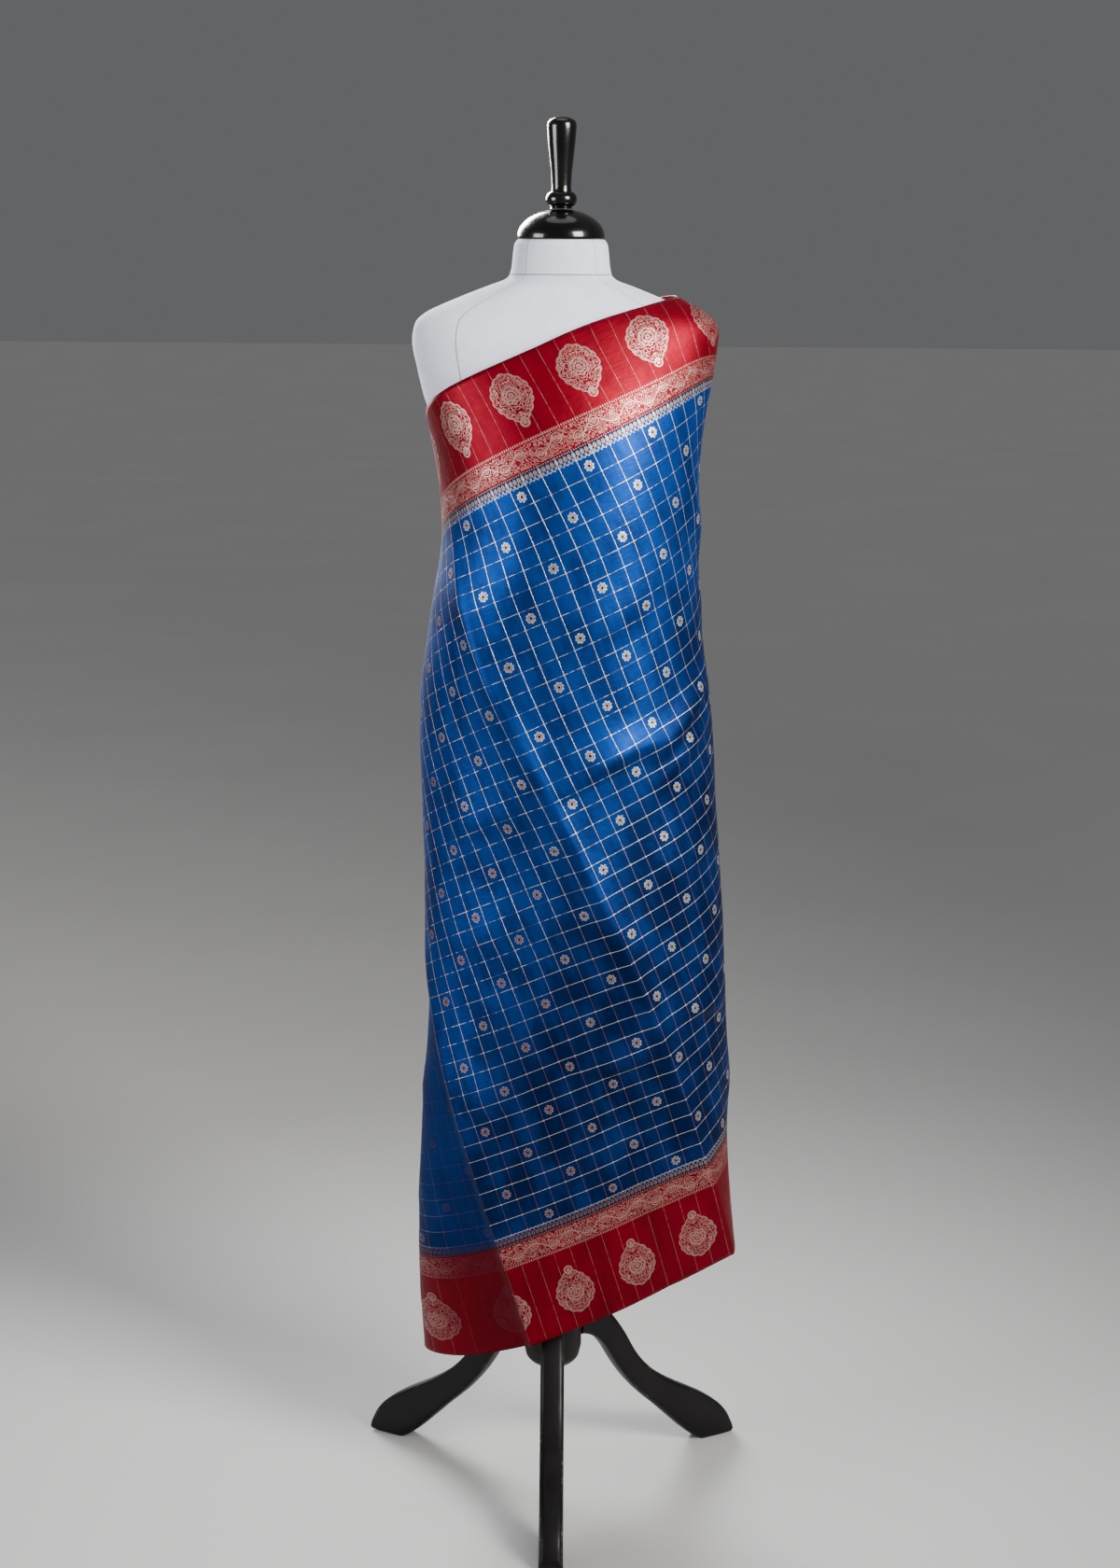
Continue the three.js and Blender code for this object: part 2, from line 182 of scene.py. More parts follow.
@dataclass(frozen=True)
class Drape:
    """Where each point of the unrolled cloth lies round the body."""

    t_top: float = -6.7
    t_hem: float = 45.6
    s_inner_end: float = -26.0
    s_free_end: float = 24.0
    c_start: float = -137.0
    w_start: float = 1270.0
    lean: float = 23.2
    lean_by_s: float = -0.05
    lean_by_t: float = -0.12
    lean_middle_t: float = 20.0
    rise_from: float = -16.5
    rise_to: float = 16.0
    rise_ease: float = 2.5
    slip_from: float = 15.0
    slip_by: float = 0.08
    upright_back: tuple[float, float, float] = (-14.0, -30.0, 0.55)
    upright_fall: tuple[float, float, float] = (10.0, 26.0, 0.32)
    flute_from: float = 10.0
    flute_to: float = 24.0
    flute_waves: float = 2.5
    flute_height: float = 16.0
    flute_start: float = 8.0
    inset_depth: float = 12.0
    tuck_depth: float = 7.0
    tuck_edge: tuple[float, float] = (-13.45, -13.95)
    tuck_fade: tuple[float, float] = (-19.0, -15.0)
    tuck_rows: tuple[float, float] = (6.0, 20.0)
    inset_lines: tuple[float, float] = (-12.5, -15.0)
    inset_arcs: tuple[float, float] = (-225.0, -290.0)
    rung: float = 5.0
    pace: float = 3.0
    longest_arc: float = 900.0

    def sections(self) -> np.ndarray:
        """The draped cloth's sections: length up the cloth, height, reach left, right, front, back."""
        return np.array([
            (100, 100, 156, 218, 76, 100),
            (300, 300, 169, 224, 92, 108),
            (500, 500, 168, 222, 106, 116),
            (700, 700, 162, 212, 120, 122),
            (890, 890, 165, 200, 131, 126),
            (1050, 1050, 169, 185, 139, 124),
            (1160, 1160, 154, 173, 144, 118),
            (1250, 1250, 141, 169, 146, 114),
            (1340, 1340, 150, 170, 141, 114),
            (1400, 1400, 163, 176, 129, 113),
            (1485, 1477, 186, 188, 100, 102),
            (1520, 1509, 182, 184, 83, 88),
            (1560, 1535, 137, 141, 64, 70),
            (1600, 1555, 96, 97, 60, 66),
        ], dtype=float)

    def folds(self) -> list[Fold]:
        """The long folds that the solids have too, the front ridge with a slight lean here."""
        return [
            Fold(s=-1.5, height=12, reach=2, start=-4, end=6, lean=0.028),
            Fold(s=-4.5, height=-4, reach=2.2, start=0, end=10),
            Fold(s=-13.5, height=12, reach=3.2, start=12, end=37),
            Fold(s=3.2, height=-6, reach=2, start=26, end=44),
        ]

    def creases(self) -> list[Union[Fold, Crease]]:
        """The front ridge's crisp crest and the shorter pulled creases.

        The creases of the front come first, then similar ones on the hidden sides. Each
        row gives s0, t0, s1, t1, height, above, below and bow.
        """
        rows = [
            (-0.8, 15.4, 6.4, 15.2, 12.0, 1.3, 0.34, -0.4),
            (4.6, 15.9, 12.4, 13.4, 9.5, 1.1, 0.36, 0.3),
            (4.2, 17.5, 12.0, 15.6, 6.0, 0.9, 0.36, 0.0),
            (-6.2, 30.4, -0.4, 30.9, 11.0, 1.5, 0.45, 0.3),
            (0.2, 29.6, 5.4, 31.4, 5.4, 1.1, 0.5, 0.0),
            (-8.2, 14.4, -1.0, 15.0, 5.4, 1.9, 0.8, 0.5),
            (-13.4, 29.8, -8.6, 31.2, 6.7, 1.8, 0.6, 0.0),
            (-10.8, 20.5, -3.2, 21.6, 3.5, 1.6, 1.0, 0.4),
            (-9.4, 36.8, -2.0, 37.8, 3.2, 1.6, 1.0, 0.0),
            (1.2, 22.0, 9.2, 20.8, 3.5, 1.6, 1.0, 0.5),
            (2.2, 8.2, 11.0, 6.4, 3.8, 1.6, 0.9, 0.5),
            (-3.2, 3.6, 5.2, 4.8, 2.9, 1.8, 1.1, 0.0),
            (3.0, 37.4, 9.6, 35.6, 3.8, 1.4, 0.8, 0.0),
            (12.4, 2.6, 15.8, 9.0, 4.8, 1.2, 0.8, 0.0),
            (13.2, 12.0, 18.4, 10.4, 4.2, 1.4, 0.8, 0.0),
            (15.2, 24.2, 21.6, 22.6, 3.8, 1.5, 0.9, 0.0),
            (13.0, 33.4, 19.8, 34.6, 3.5, 1.5, 0.9, 0.0),
            (-19.2, 16.2, -14.6, 15.0, 2.9, 1.6, 0.9, 0.0),
            (-20.4, 26.6, -14.8, 28.4, 3.2, 1.5, 0.9, 0.4),
            (-24.6, 36.0, -16.4, 34.6, 2.9, 1.6, 1.0, 0.4),
        ]
        crest = Fold(s=-1.5, height=8, reach=1.2, start=-1, end=8, lean=0.028)
        return [crest] + [Crease(*row) for row in rows]

    def on_tube(self, c: np.ndarray, w: np.ndarray) -> np.ndarray:
        """The point of the tube of sections at an arc and a height.

        A section is a half ellipse in front and another behind. The turn round it is
        found from the arc by walking each of a ladder of sections once and reading
        between them: x = half * sin(turn), y = -reach * cos(turn).

        Args:
            c: arc from the front middle, in millimetres.
            w: length up the cloth, in millimetres.

        Returns:
            Points, with a last axis of x, y and z in millimetres.
        """
        rows = self.sections()
        rung, pace = self.rung, self.pace
        ladder = np.arange(rows[0, 0] - 30.0, rows[-1, 0] + 30.0, rung)
        turns = np.linspace(0.0, 2.0 * np.pi, 361)
        left, right = smooth_column(rows, 2, ladder), smooth_column(rows, 3, ladder)
        front, back = smooth_column(rows, 4, ladder), smooth_column(rows, 5, ladder)
        x = ((left + right) / 2)[:, None] * np.sin(turns)
        y = -np.where(np.cos(turns) > 0, front[:, None], back[:, None]) * np.cos(turns)
        steps = np.hypot(np.diff(x, axis=1), np.diff(y, axis=1))
        walked = np.concatenate([np.zeros((len(ladder), 1)), np.cumsum(steps, axis=1)], axis=1)
        arcs = np.arange(0.0, self.longest_arc, pace)
        turn_at = np.stack([np.interp(arcs, row, turns) for row in walked])
        row = np.clip((w - ladder[0]) / rung, 0, len(ladder) - 1.001)
        col = np.clip(np.abs(c) / pace, 0, len(arcs) - 1.001)
        i, j = row.astype(int), col.astype(int)
        a, b = row - i, col - j
        low = turn_at[i, j] * (1 - b) + turn_at[i, j + 1] * b
        high = turn_at[i + 1, j] * (1 - b) + turn_at[i + 1, j + 1] * b
        turn = low * (1 - a) + high * a
        left, right = smooth_column(rows, 2, w), smooth_column(rows, 3, w)
        reach = np.where(np.cos(turn) > 0, smooth_column(rows, 4, w), smooth_column(rows, 5, w))
        x = (right - left) / 2 + np.sign(c) * (left + right) / 2 * np.sin(turn)
        return np.stack([x, -reach * np.cos(turn), smooth_column(rows, 1, w)], axis=-1)

    def climbing(self, s: np.ndarray) -> np.ndarray:
        """The weft line that sets the climb: s, levelling out as an exponential past both ends.

        Behind the shoulder it slips down again by slip_by * (s - slip_from)^2.

        Args:
            s: places along the length.

        Returns:
            The climb, in checks.
        """
        low, high, settle = self.rise_from, self.rise_to, self.rise_ease
        below = low - settle * (1 - np.exp(np.minimum(s - low, 0) / settle))
        above = high + settle * (1 - np.exp(np.minimum(high - s, 0) / settle))
        slip = self.slip_by * np.maximum(s - self.slip_from, 0.0) ** 2
        return np.where(s < low, below, np.where(s > high, above, s)) - slip

    def laid(self, s: np.ndarray, t: np.ndarray) -> tuple[np.ndarray, np.ndarray]:
        """Arc and height of a place on the cloth: the flat cloth turned by its lean.

        Args:
            s: places along the length.
            t: places across the width.

        Returns:
            The arc from the front middle and the length up the cloth, in millimetres.
        """
        climb = self.climbing(s)
        lean = np.radians(self.lean + self.lean_by_s * climb + self.lean_by_t * (t - self.lean_middle_t))
        from_b, to_b, share_b = self.upright_back
        from_f, to_f, share_f = self.upright_fall
        upright = 1 - share_b * ease(s, from_b, to_b) - share_f * ease(s, from_f, to_f)
        cosine = math.cos(math.radians(self.lean))
        c = self.c_start + CHECK * (s * cosine + t * np.sin(lean) * upright)
        w = self.w_start + CHECK * (climb * np.sin(lean) - t * cosine)
        return c, w

    def push(self, s: np.ndarray, t: np.ndarray, c: np.ndarray) -> np.ndarray:
        """How far folds, flutes, creases and the soft unevenness push the cloth outwards.

        The unevenness is a sum of slow sine waves across both directions. It fades out
        where one layer lies close over another.

        Args:
            s: places along the length.
            t: places across the width.
            c: arc from the front middle, in millimetres.

        Returns:
            The push in millimetres.
        """
        out = sum(fold.push(s, t) for fold in self.folds())
        turns = self.flute_waves * (s - self.flute_from) / (self.flute_to - self.flute_from)
        wave = np.where(turns > 0, (1 - np.cos(2 * np.pi * turns)) / 2, 0.0)
        out = out + self.flute_height * wave * ease(t, self.flute_start, self.t_hem)
        under = ease(s, *self.inset_lines) * ease(c, *self.inset_arcs)
        out = out - self.inset_depth * under
        tuck = ease(s, *self.tuck_edge) * ease(s, *self.tuck_fade) * ease(t, *self.tuck_rows)
        detail = sum(crease.push(s, t) for crease in self.creases()) - self.tuck_depth * tuck
        detail = detail + 0.7 * np.sin(0.61 * s + 0.37 * t + 0.4) * np.sin(0.23 * s - 0.43 * t)
        detail = detail + 0.35 * np.sin(1.13 * s - 0.52 * t + 1.1) * np.sin(0.47 * s + 0.83 * t + 0.6)
        return out + detail * (1 - 0.6 * under)

    def points(self, s: np.ndarray, t: np.ndarray) -> np.ndarray:
        """The cloth's outer face: the point of the tube, pushed along the tube's own normal.

        Args:
            s: places along the length.
            t: places across the width.

        Returns:
            Points in millimetres.
        """
        step = self.pace
        c, w = self.laid(s, t)
        along = self.on_tube(c + step, w) - self.on_tube(c - step, w)
        up = self.on_tube(c, w + step) - self.on_tube(c, w - step)
        outward = np.cross(along, up)
        outward /= np.linalg.norm(outward, axis=-1, keepdims=True)
        return self.on_tube(c, w) + outward * self.push(s, t, c)[..., None]


# Meshes


@dataclass
class Surface:
    """A grid of points that becomes one mesh object."""

    name: str
    points: np.ndarray
    closed_across: bool = False
    uv: Union[np.ndarray, None] = None
    marks: dict[str, np.ndarray] = field(default_factory=dict)

    def faces(self) -> np.ndarray:
        """Four-sided faces between neighbouring rows and columns, as rows of point numbers."""
        rows, columns = self.points.shape[:2]
        at = np.arange(rows * columns).reshape(rows, columns)
        if self.closed_across:
            at = np.concatenate([at, at[:, :1]], axis=1)
        return np.stack([at[:-1, :-1], at[:-1, 1:], at[1:, 1:], at[1:, :-1]], axis=-1).reshape(-1, 4)

    def make(self, weld: float = 0.0, smooth_angle: float = 50.0) -> bpy.types.Object:
        """Makes the object, at the origin and with its place in its mesh.

        Args:
            weld: distance in metres below which points are merged, where poles close.
            smooth_angle: edges sharper than this, in degrees, stay crisp.

        Returns:
            The new object.
        """
        mesh = bpy.data.meshes.new(self.name)
        faces = self.faces()
        mesh.from_pydata((self.points.reshape(-1, 3) * MM).tolist(), [], faces.tolist())
        if self.uv is not None:
            layer = mesh.uv_layers.new(name="weave")
            layer.data.foreach_set("uv", self.uv.reshape(-1, 2)[faces.reshape(-1)].ravel())
        for name, values in self.marks.items():
            mark = mesh.attributes.new(name, "FLOAT", "POINT")
            mark.data.foreach_set("value", values.ravel().astype(np.float32))
        if weld > 0.0:
            work = bmesh.new()
            work.from_mesh(mesh)
            bmesh.ops.remove_doubles(work, verts=work.verts, dist=weld)
            bmesh.ops.recalc_face_normals(work, faces=work.faces)
            work.to_mesh(mesh)
            work.free()
        mesh.shade_smooth()
        mesh.set_sharp_from_angle(angle=math.radians(smooth_angle))
        piece = bpy.data.objects.new(self.name, mesh)
        bpy.context.scene.collection.objects.link(piece)
        return piece


def post_axis() -> Vector:
    """The post's axis at the drawing's zero height, in millimetres, from the solids' places."""
    low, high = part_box("finial")
    top = Vector(((low[0] + high[0]) / 2, (low[1] + high[1]) / 2, high[2])) / MM
    return top - Vector((0, 0, DRAWN_TOP))


# Material fields

Number = Union["Field", float]


class Field:
    """A number worked out at each point of a surface: one output of a node tree."""

    def __init__(self, tree: bpy.types.NodeTree, socket: bpy.types.NodeSocket) -> None:
        """Holds the tree and the output."""
        self.tree = tree
        self.socket = socket

    def math(self, operation: str, *others: Number) -> "Field":
        """One Math node with this field as its first input.

        Args:
            operation: the node's operation.
            others: its other inputs, fields or plain numbers.

        Returns:
            The node's result.
        """
        node = self.tree.nodes.new("ShaderNodeMath")
        node.operation = operation
        self.tree.links.new(self.socket, node.inputs[0])
        for slot, other in zip(list(node.inputs)[1:], others):
            if isinstance(other, Field):
                self.tree.links.new(other.socket, slot)
            else:
                slot.default_value = other
        return Field(self.tree, node.outputs[0])

    def __add__(self, other: Number) -> "Field":
        """Sum."""
        return self.math("ADD", other)

    def __sub__(self, other: Number) -> "Field":
        """Difference."""
        return self.math("SUBTRACT", other)

    def __mul__(self, other: Number) -> "Field":
        """Product."""
        return self.math("MULTIPLY", other)

    def __truediv__(self, other: Number) -> "Field":
        """Quotient."""
        return self.math("DIVIDE", other)

    def less_from(self, whole: float) -> "Field":
        """The whole less this field."""
        return self.math("MULTIPLY", -1.0) + whole

    def abs(self) -> "Field":
        """Size without its sign."""
        return self.math("ABSOLUTE")

    def low(self, other: Number) -> "Field":
        """The smaller of the two."""
        return self.math("MINIMUM", other)

    def high(self, other: Number) -> "Field":
        """The larger of the two."""
        return self.math("MAXIMUM", other)

    def sin(self) -> "Field":
        """Sine, in radians."""
        return self.math("SINE")

    def nearest(self, spacing: float = 1.0, offset: float = 0.0) -> "Field":
        """Signed distance to the nearest of the lines offset + k * spacing."""
        return self.math("SUBTRACT", offset - spacing / 2).math("WRAP", spacing, 0.0) - spacing / 2

    def rises(self, start: float, end: float) -> "Field":
        """A soft step from 0 at start to 1 at end.

        Args:
            start: where the step starts. It may be above end.
            end: where the step ends.

        Returns:
            The step, between 0 and 1.
        """
        node = self.tree.nodes.new("ShaderNodeMapRange")
        node.interpolation_type = "SMOOTHSTEP"
        flip = start > end
        node.inputs["From Min"].default_value = min(start, end)
        node.inputs["From Max"].default_value = max(start, end)
        node.inputs["To Min"].default_value = 1.0 if flip else 0.0
        node.inputs["To Max"].default_value = 0.0 if flip else 1.0
        self.tree.links.new(self.socket, node.inputs["Value"])
        return Field(self.tree, node.outputs["Result"])

    def between(self, start: float, end: float, soft: float) -> "Field":
        """1 between two values and 0 outside, with soft edges."""
        return self.rises(start - soft, start + soft) * self.rises(end + soft, end - soft)

    def line(self, half_width: float) -> "Field":
        """1 where the field is near 0: a line with edges a third of its half width soft."""
        return self.abs().rises(half_width * 1.35, half_width * 0.65)


def distance(a: Field, b: Field) -> Field:
    """Length of the two fields taken as a right angle's sides."""
    return (a * a + b * b).math("SQRT")


Colour = tuple[float, float, float]
Paint = Union[Colour, bpy.types.NodeSocket]


class Finish:
    """One material under construction: its node tree, its shader and the fields that it reads."""

    def __init__(self, name: str) -> None:
        """Starts an empty material.

        Args:
            name: the material's name.
        """
        self.material = bpy.data.materials.new(name)
        self.material.use_nodes = True
        self.tree = self.material.node_tree
        self.shader = self.tree.nodes["Principled BSDF"]

    def uv(self) -> tuple[Field, Field]:
        """The two coordinates of the piece's own map."""
        node = self.tree.nodes.new("ShaderNodeUVMap")
        node.uv_map = "weave"
        split = self.tree.nodes.new("ShaderNodeSeparateXYZ")
        self.tree.links.new(node.outputs["UV"], split.inputs[0])
        return Field(self.tree, split.outputs[0]), Field(self.tree, split.outputs[1])

    def place(self) -> bpy.types.NodeSocket:
        """Object coordinates, in metres."""
        return self.tree.nodes.new("ShaderNodeTexCoord").outputs["Object"]

    def mark(self, name: str) -> Field:
        """A number kept on the mesh under a name."""
        node = self.tree.nodes.new("ShaderNodeAttribute")
        node.attribute_name = name
        return Field(self.tree, node.outputs["Fac"])

    def vector(self, x: Field, y: Field) -> bpy.types.NodeSocket:
        """Two fields as a vector, its third number 0."""
        node = self.tree.nodes.new("ShaderNodeCombineXYZ")
        self.tree.links.new(x.socket, node.inputs[0])
        self.tree.links.new(y.socket, node.inputs[1])
        return node.outputs[0]

    def noise(self, vector: bpy.types.NodeSocket, scale: float, detail: float) -> Field:
        """Soft noise about 0.5.

        Args:
            vector: where it is read.
            scale: how many lumps to the unit.
            detail: how many finer layers lie on it.

        Returns:
            The noise, roughly between 0 and 1.
        """
        node = self.tree.nodes.new("ShaderNodeTexNoise")
        node.inputs["Scale"].default_value = scale
        node.inputs["Detail"].default_value = detail
        self.tree.links.new(vector, node.inputs["Vector"])
        return Field(self.tree, node.outputs[0])

    def blend(self, factor: Field, under: Paint, over: Paint) -> bpy.types.NodeSocket:
        """One colour over another.

        Args:
            factor: 0 for the one under, 1 for the one over.
            under: a colour or a colour output.
            over: a colour or a colour output.

        Returns:
            The mixed colour.
        """
        node = self.tree.nodes.new("ShaderNodeMix")
        node.data_type = "RGBA"
        self.tree.links.new(factor.socket, node.inputs[0])
        for slot, paint in ((node.inputs[6], under), (node.inputs[7], over)):
            if isinstance(paint, tuple):
                slot.default_value = (*paint, 1.0)
            else:
                self.tree.links.new(paint, slot)
        return node.outputs[2]

    def set(self, **values: float) -> None:
        """Sets the shader's own sockets, with underscores for the spaces of their names."""
        for name, value in values.items():
            self.shader.inputs[name.replace("_", " ")].default_value = value

    def drive(self, socket: str, source: Union[Field, bpy.types.NodeSocket]) -> None:
        """Links a field or a colour to one of the shader's sockets."""
        output = source.socket if isinstance(source, Field) else source
        self.tree.links.new(output, self.shader.inputs[socket])

    def bump(self, height: Field, metres: float) -> None:
        """Raises the surface by a field.

        Args:
            height: 0 to 1.
            metres: the height of a full 1.
        """
        node = self.tree.nodes.new("ShaderNodeBump")
        node.inputs["Strength"].default_value = 1.0
        node.inputs["Distance"].default_value = metres
        self.tree.links.new(height.socket, node.inputs["Height"])
        self.tree.links.new(node.outputs[0], self.shader.inputs["Normal"])


@dataclass(frozen=True)
class SilkPlan:
    """Colours of the silk and its zari, with those of the shade painted on the left wrap, the lower part
    and the zari to the left, and where its parts lie, in checks.
    """

    blue: Colour = (0.0003, 0.031, 0.175)
    deep_blue: Colour = (0.0003, 0.016, 0.095)
    # Painted shade: the navy that darkens the blue over the lower part of the cloth
    painted_shade_navy: Colour = (0.0003, 0.005, 0.032)
    crimson: Colour = (0.175, 0.0002, 0.009)
    deep_crimson: Colour = (0.12, 0.0002, 0.006)
    # Painted shade: the dark crimson of the border over the left wrap
    painted_shade_crimson: Colour = (0.055, 0.0002, 0.003)
    outline: Colour = (0.02, 0.006, 0.012)
    silver: Colour = (0.60, 0.56, 0.53)
    # Painted shade: the duller mauve of the zari towards the left of the body
    mauve_zari_shade: Colour = (0.30, 0.20, 0.22)
    pink_silver: Colour = (0.36, 0.19, 0.165)
    # Rust of the lower part's weft threads, and the painted shade of the zari over the left wrap
    rust_and_zari_shade: Colour = (0.10, 0.022, 0.050)
    field_from: float = -1.0
    field_to: float = 39.0
    upper_buta: float = -4.7
    lower_buta: float = 43.2
    pallu_from: float = 20.5
    # The lower part: its own check style, and the painted shade that darkens its blue
    lower_part: tuple[float, float] = (15.0, 24.0)
    lower_climb: float = 0.9
    lower_climb_to: float = 10.0
    # Painted shade over the left wrap beyond the tuck: where it starts, where it fades out, and the rows
    # it covers
    shaded_edge: tuple[float, float] = (-13.4, -13.7)
    shaded_fade: tuple[float, float] = (-19.0, -15.5)
    shaded_rows: tuple[float, float] = (16.0, 26.0)
    line_half_width: float = 0.31


class SilkFinish:
    """Royal blue silk with zari checks and bootis, between crimson borders with butas.

    Every part is a mask on the unrolled cloth, between 0 and 1. The fields s and t are the
    place on it in checks, and past is the distance past the blue field's edge in
    millimetres. Motifs are drawn in millimetres.
    """

    def __init__(self, plan: SilkPlan) -> None:
        """Starts the material and reads the place from the piece's map.

        Args:
            plan: its colours and places.
        """
        self.plan = plan
        self.finish = Finish("saree_silk")
        self.s, self.t = self.finish.uv()
        past = self.t.less_from(plan.field_from).high(self.t - plan.field_to) * CHECK
        self.past = past.high((self.s - plan.pallu_from) * CHECK)

    def lumps(self, along: float, across: float, detail: float) -> Field:
        """Soft noise with so many lumps to a check each way, and finer layers on it."""
        return self.finish.noise(self.finish.vector(self.s * along, self.t * across), 1.0, detail)

    def make(self) -> bpy.types.Material:
        """Colours the ground, lays the zari on it, paints shade on the left wrap, the lower part and the
        zari to the left, and gives both their sheen and relief.

        Returns:
            The material.
        """
        plan, finish, s, t = self.plan, self.finish, self.s, self.t
        red = self.past.rises(-0.3, 0.3)
        lower = (s.low(plan.lower_climb_to) * plan.lower_climb + t).rises(*plan.lower_part)
        # Painted shade over the left wrap beyond the tuck, where the cloth turns away from the light: its
        # ground darkens and its zari dims
        painted_shade = s.rises(*plan.shaded_edge) * s.rises(*plan.shaded_fade) * t.rises(*plan.shaded_rows)

        lines, rusty = self.checks(lower)
        bootis, centres = self.bootis()
        on_red = self.butas().high(self.band())
        comb, comb_ground = self.comb()
        edge = self.past.between(0.0, 2.6, 0.3)

        light = self.lumps(0.55, 0.32, 3.0) * 0.75 + self.lumps(3.0, 0.3, 3.0) * 0.25
        blue = finish.blend(light.rises(0.34, 0.62), plan.deep_blue, plan.blue)
        # Painted shade: the blue darkens to deep blue and navy over the lower part, low on the cloth and
        # towards larger s
        dark = finish.blend(light.rises(0.42, 0.68), plan.painted_shade_navy, plan.deep_blue)
        blue = finish.blend(lower * 0.8, blue, dark)
        crimson = finish.blend(light.rises(0.3, 0.65), plan.deep_crimson, plan.crimson)
        ground = finish.blend(red, blue, crimson)
        ground = finish.blend(rusty * 0.7, ground, plan.rust_and_zari_shade)
        ground = finish.blend(comb_ground.high(edge), ground, plan.outline)

        # Painted shade and highlight: the zari blends from dull mauve at low s to bright silver at high
        # s, for how its reflection falls across the body
        metal = finish.blend(s.rises(-9.0, 8.0), plan.mauve_zari_shade, plan.silver)
        metal = finish.blend(lines, metal, plan.silver)
        metal = finish.blend(red, metal, plan.pink_silver)
        # Painted shade: over the left wrap the zari turns dark rust
        metal = finish.blend(painted_shade * 0.9, metal, plan.rust_and_zari_shade)
        flecks = finish.noise(finish.vector(s * CHECK, t * CHECK), 0.5, 1.0).rises(0.36, 0.6)
        zari = lines.high(bootis * (flecks * 0.6 + 0.3)).high(on_red).high(comb)
        # Painted shade: the zari dims over the left wrap
        colour = finish.blend(zari * (painted_shade * -0.4 + 1.0), ground, metal)
        colour = finish.blend(centres, colour, plan.outline)
        # Painted shade: the left wrap's ground darkens towards deep blue and dark crimson
        shade = finish.blend(red, plan.deep_blue, plan.painted_shade_crimson)
        finish.drive("Base Color", finish.blend(painted_shade * 0.55, colour, shade))
        worn = finish.noise(finish.vector(s, t), 2.3, 4.0)
        finish.drive("Metallic", zari * 0.15 + 0.65)
        finish.drive("Roughness", zari * -0.08 + worn * 0.16 + 0.42)
        finish.set(Specular_IOR_Level=0.12)
        finish.bump(zari * 0.25 + self.lumps(1.5, 9.0, 2.0) * 0.35 + worn * 0.5, 0.0006)
        return finish.material

    def checks(self, lower: Field) -> tuple[Field, Field]:
        """Thin zari lines on the half-numbered threads, with bright nodes at the crossings.

        Above, the weft lines are whole and the warp lines are broken into dashes by noise
        along the thread. Below it is the other way round, and the weft lines turn rusty.
        The weft lines run on thinly through the borders.

        Args:
            lower: 0 in the upper part of the cloth and 1 in the lower.

        Returns:
            The bright mask and the rusty one.
        """
        across, along = self.s.nearest(1.0, 0.5) * CHECK, self.t.nearest(1.0, 0.5) * CHECK
        in_field = self.past.rises(0.2, -0.2)
        fade = self.lumps(0.8, 3.0, 2.0).rises(0.3, 0.62)
        weft = across.line(self.plan.line_half_width)
        bright = weft * (in_field * 0.45 + fade * 0.45 + 0.1) * (lower * in_field * -0.85 + 1.0)
        dashes = self.lumps(2.6, 0.8, 2.0).rises(0.44, 0.58)
        warp = along.line(self.plan.line_half_width) * (dashes * 0.75 + 0.12).high(lower * 0.9)
        node = distance(across, along).rises(1.5, 0.6) * 0.8
        return bright.high(warp.high(node) * in_field), weft * lower * in_field

    def bootis(self) -> tuple[Field, Field]:
        """Small eight-petalled flowers on a lozenge lattice of two checks.

        p = (s + t) / 4 and q = (s - t) / 4 are whole at each flower. About it the edge is
        at 4.6 + 1.5 |cos 4a| mm in direction a.

        Returns:
            The zari mask, and the mask of the dark middle and outline.
        """
        p, q = ((self.s + self.t) / 4.0).nearest(), ((self.s - self.t) / 4.0).nearest()
        x, y = (p + q) * (2.0 * CHECK), (p - q) * (2.0 * CHECK)
        r, a = distance(x, y * 0.92), y.math("ARCTAN2", x)
        edge = (a * 4.0).math("COSINE").abs() * 1.5 + 4.6
        rows = self.t.between(-0.7, 38.6, 0.05)
        inside = (r - edge).rises(0.35, -0.35) * rows
        middle = r.rises(1.9, 1.3) * rows
        ring = (r - 3.1).line(0.35) * rows
        return inside, middle.high(ring * 0.7)

    def butas(self) -> Field:
        """Pear-shaped butas of zari filigree in both borders, their buds towards the field.

        About the middle, with direction a from the bud, the edge is at
        24.5 + 7 exp(-3 a^2) + 3 exp(-6 (pi - a)^2) + 1.6 |sin 7.5a| mm. Inside is filigree,
        mirrored left to right, about a rosette of eight petals.

        Returns:
            The mask.
        """
        x = self.s.nearest(4.0, 2.0) * CHECK
        lower = self.t.less_from(self.plan.lower_buta) * CHECK
        upper = (self.t - self.plan.upper_buta) * CHECK
        near = lower.abs().math("LESS_THAN", upper.abs())
        y = lower * near + upper * near.less_from(1.0)
        side = x.abs()
        r, a = distance(x, y + 3.0), side.math("ARCTAN2", y + 3.0)
        far = a.less_from(math.pi)
        tip = (a * a * -3.0).math("EXPONENT") * 7.0 + (far * far * -6.0).math("EXPONENT") * 3.0
        depth = tip + (a * 7.5).sin().abs() * 1.6 + 24.5 - r
        body = depth.rises(-0.3, 0.3) * self.filigree(side, y).high(depth.rises(2.2, 1.4) * 0.8)
        petals = r / ((a * 4.0).math("COSINE").abs() * 0.2 + 1.0)
        heart = petals.nearest(3.6, 1.8).abs().rises(1.2, 0.7) * petals.rises(11.5, 10.5)
        bud = distance(x, y - 31.0)
        knob = bud.rises(6.2, 5.6) * (bud - 3.0).abs().rises(0.3, 1.0)
        stem = side.line(1.4) * y.between(24.0, 28.0, 0.3)
        return body.high(heart * 0.9).high(knob).high(stem)

    def filigree(self, x: Field, y: Field) -> Field:
        """Curling threads about 3 mm apart: the contour lines of a soft noise at x and y."""
        hills = self.finish.noise(self.finish.vector(x, y), 0.13, 1.0)
        return (hills * 8.0).nearest().abs().rises(0.26, 0.13)

